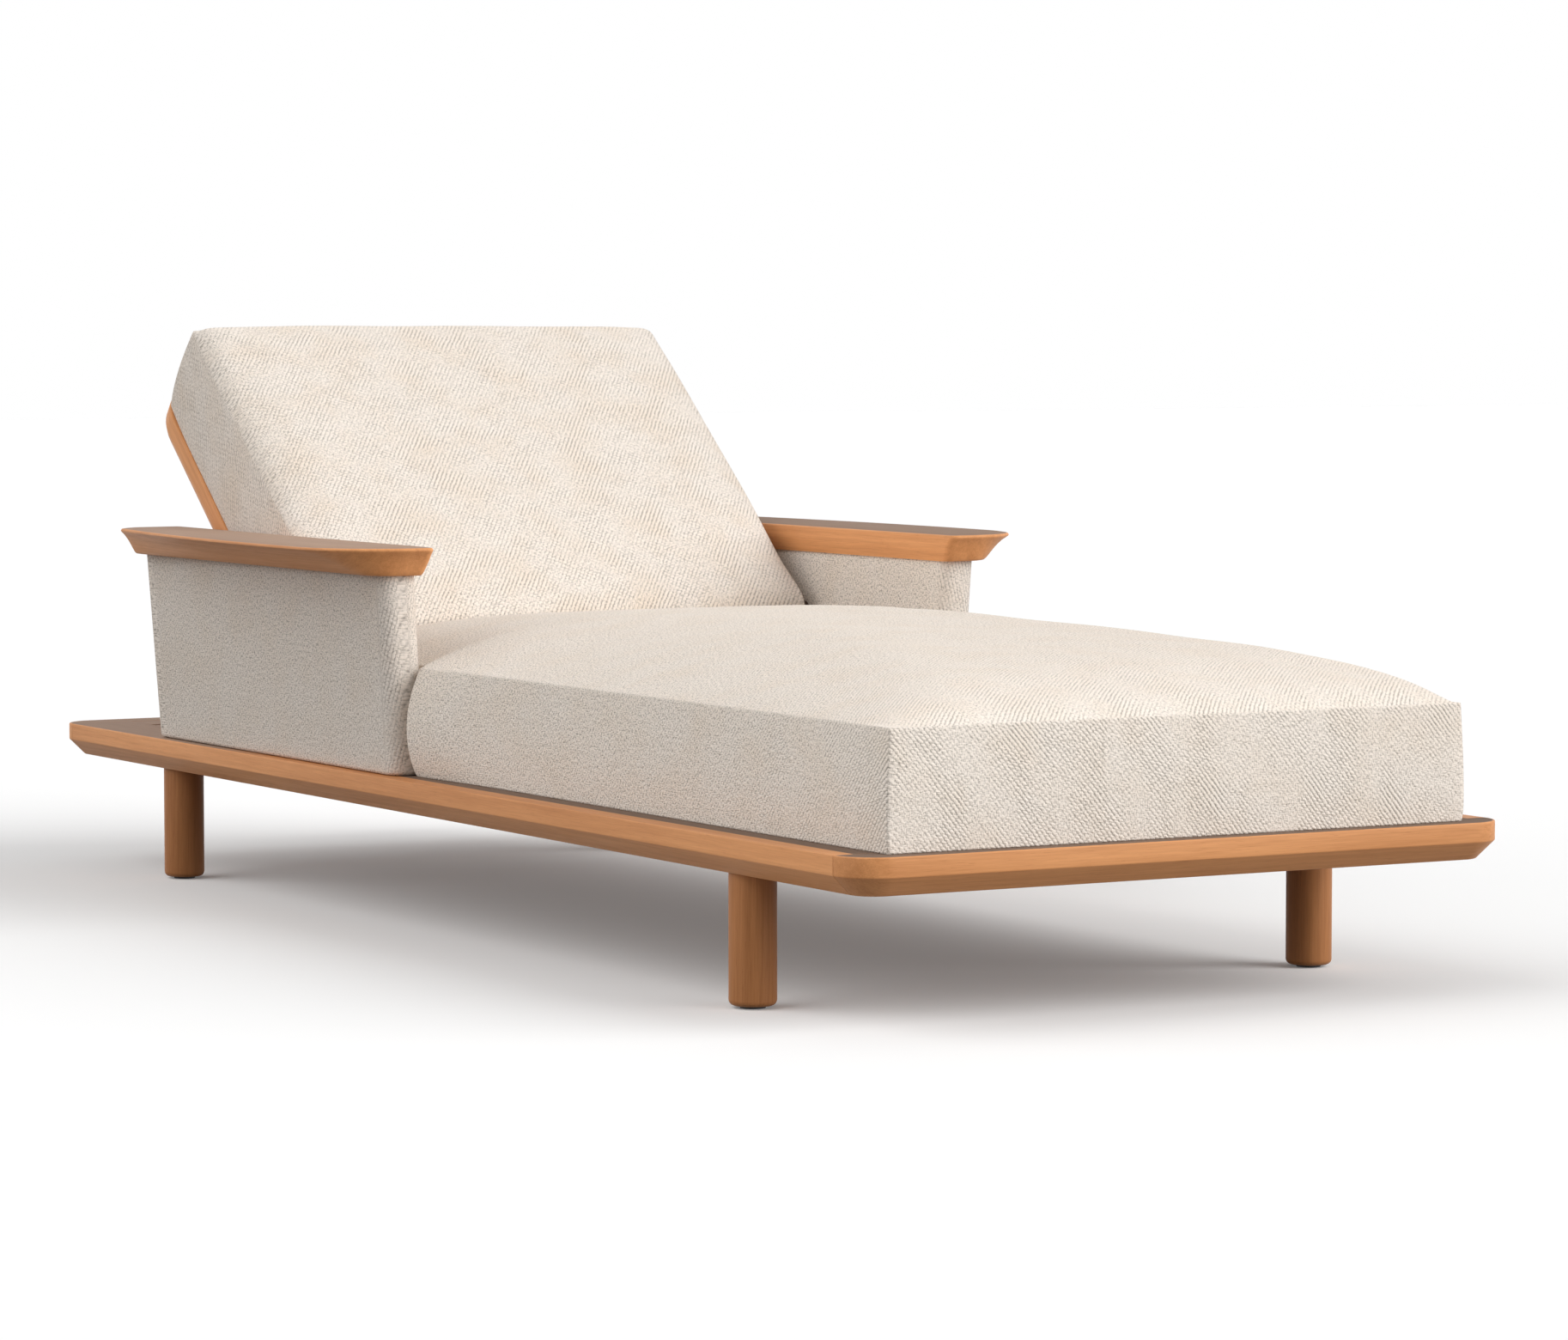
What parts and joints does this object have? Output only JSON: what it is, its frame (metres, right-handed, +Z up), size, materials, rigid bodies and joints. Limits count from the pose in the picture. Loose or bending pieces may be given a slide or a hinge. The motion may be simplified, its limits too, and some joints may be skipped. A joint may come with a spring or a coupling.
{
  "type": "sun lounger",
  "caption": "Low wooden sun lounger with padded arms under flared wooden caps, a box seat cushion and a cushioned back that reclines flat.",
  "frame": {"origin": "on the floor under the middle of the platform", "axes": "+Y along the platform towards the head end, +X to the right seen from the foot end, +Z up"},
  "size_m": [0.931, 2, 0.6781],
  "materials": {
    "wood": "oiled, warm brown, fine straight grain",
    "fabric": "off-white slubby basket weave",
    "steel": "satin",
    "nylon": "matte black"
  },
  "bodies": {
    "base": {"arm_cap_left": "wood", "arm_cap_right": "wood", "arm_panel_left": "fabric", "arm_panel_right": "fabric", "arm_plinth_left": "wood", "arm_plinth_right": "wood", "bearer_left": "wood", "bearer_middle": "wood", "bearer_right": "wood", "deck_board_01": "wood", "deck_board_02": "wood", "deck_board_03": "wood", "deck_board_04": "wood", "deck_board_05": "wood", "deck_board_06": "wood", "deck_board_07": "wood", "deck_board_08": "wood", "deck_board_09": "wood", "deck_board_10": "wood", "deck_board_11": "wood", "deck_board_12": "wood", "deck_board_13": "wood", "deck_board_14": "wood", "end_rail_front": "wood", "end_rail_rear": "wood", "glide_front_left": "nylon", "glide_front_right": "nylon", "glide_rear_left": "nylon", "glide_rear_right": "nylon", "leg_front_left": "wood", "leg_front_right": "wood", "leg_rear_left": "wood", "leg_rear_right": "wood", "pivot_bush_left": "nylon", "pivot_bush_right": "nylon", "quadrant_left": "steel", "quadrant_packer_left": "wood", "quadrant_packer_right": "wood", "quadrant_right": "steel", "rest_block_left": "wood", "rest_block_right": "wood", "seat_cushion": "fabric", "side_rail_left": "wood", "side_rail_right": "wood"},
    "backrest": {"back_batten_lower": "wood", "back_batten_upper": "wood", "back_board": "wood", "back_cushion": "fabric", "pivot_pin_left": "steel", "pivot_pin_right": "steel", "pivot_plate_left": "steel", "pivot_plate_right": "steel", "plate_screw_left_1": "steel", "plate_screw_left_2": "steel", "plate_screw_right_1": "steel", "plate_screw_right_2": "steel", "release_bracket_left": "nylon", "release_bracket_right": "nylon"},
    "release": {"release_bar": "steel"}
  },
  "joints": [
    {"name": "back_recline", "type": "hinge", "parent": "base", "child": "backrest", "pos_m": [0, 0.3589, 0.3286], "axis": [1, 0, 0], "range_deg": [-39.5, 15.8]},
    {"name": "release_lift", "type": "hinge", "parent": "backrest", "child": "release", "pos_m": [0, 0.49883, 0.27677], "axis": [1, 0, 0], "range_deg": [0, 9]}
  ]
}
